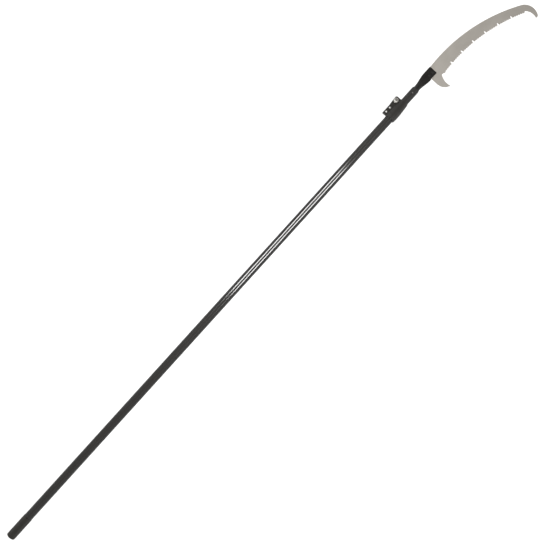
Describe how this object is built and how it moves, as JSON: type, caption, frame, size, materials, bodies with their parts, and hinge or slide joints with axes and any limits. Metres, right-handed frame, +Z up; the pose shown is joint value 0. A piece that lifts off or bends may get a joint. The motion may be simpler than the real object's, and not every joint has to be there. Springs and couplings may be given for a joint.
{
  "type": "telescoping pole saw",
  "caption": "Telescoping pole saw: curved hooked blade in a flattened socket on a grooved sliding tube, locked in the lower tube by a split clamp collar with a cam lever.",
  "frame": {"origin": "centre of the butt cap's flat end face, on the pole's axis", "axes": "+X along the pole towards the blade, teeth towards -Y, +Z up out of the blade's flat on the side of the lock nut and the tubes' groove"},
  "size_m": [2.5304, 0.175, 0.0459],
  "materials": {
    "black_tube": "satin black anodised",
    "black_rubber": "matte",
    "black_nylon": "fine moulded grain",
    "bright_steel": "bright zinc plated",
    "black_steel": "satin black paint",
    "black_rivet": "black",
    "blade_steel": "satin ground"
  },
  "bodies": {
    "outer_pole": {"outer_tube": "black_tube", "butt_cap": "black_rubber", "clamp_collar": "black_nylon", "collar_rivets": "bright_steel", "collar_rivet_washers": "bright_steel", "clamp_stud": "bright_steel", "clamp_washer": "bright_steel", "lock_nut": "bright_steel", "lock_nut_ring": "black_nylon", "cam_saddle": "black_nylon", "cam_pivot": "bright_steel"},
    "lever": {"cam_lever": "black_nylon"},
    "inner_pole": {"inner_tube": "black_tube", "guide_bush": "black_nylon", "bush_pin": "bright_steel", "reducer_sleeve": "black_nylon", "head_socket": "black_steel", "head_rivet": "black_rivet", "head_rivet_mandrel": "bright_steel", "blade": "blade_steel", "blade_rivets": "black_steel"}
  },
  "joints": [
    {"name": "pole_slide", "type": "slide", "parent": "outer_pole", "child": "inner_pole", "axis": [1, 0, 0], "range_m": [0, 1.5]},
    {"name": "lever_swing", "type": "hinge", "parent": "outer_pole", "child": "lever", "pos_m": [1.981, 0.0253, -0.0188], "axis": [0, -1, 0], "range_deg": [0, 135]}
  ]
}
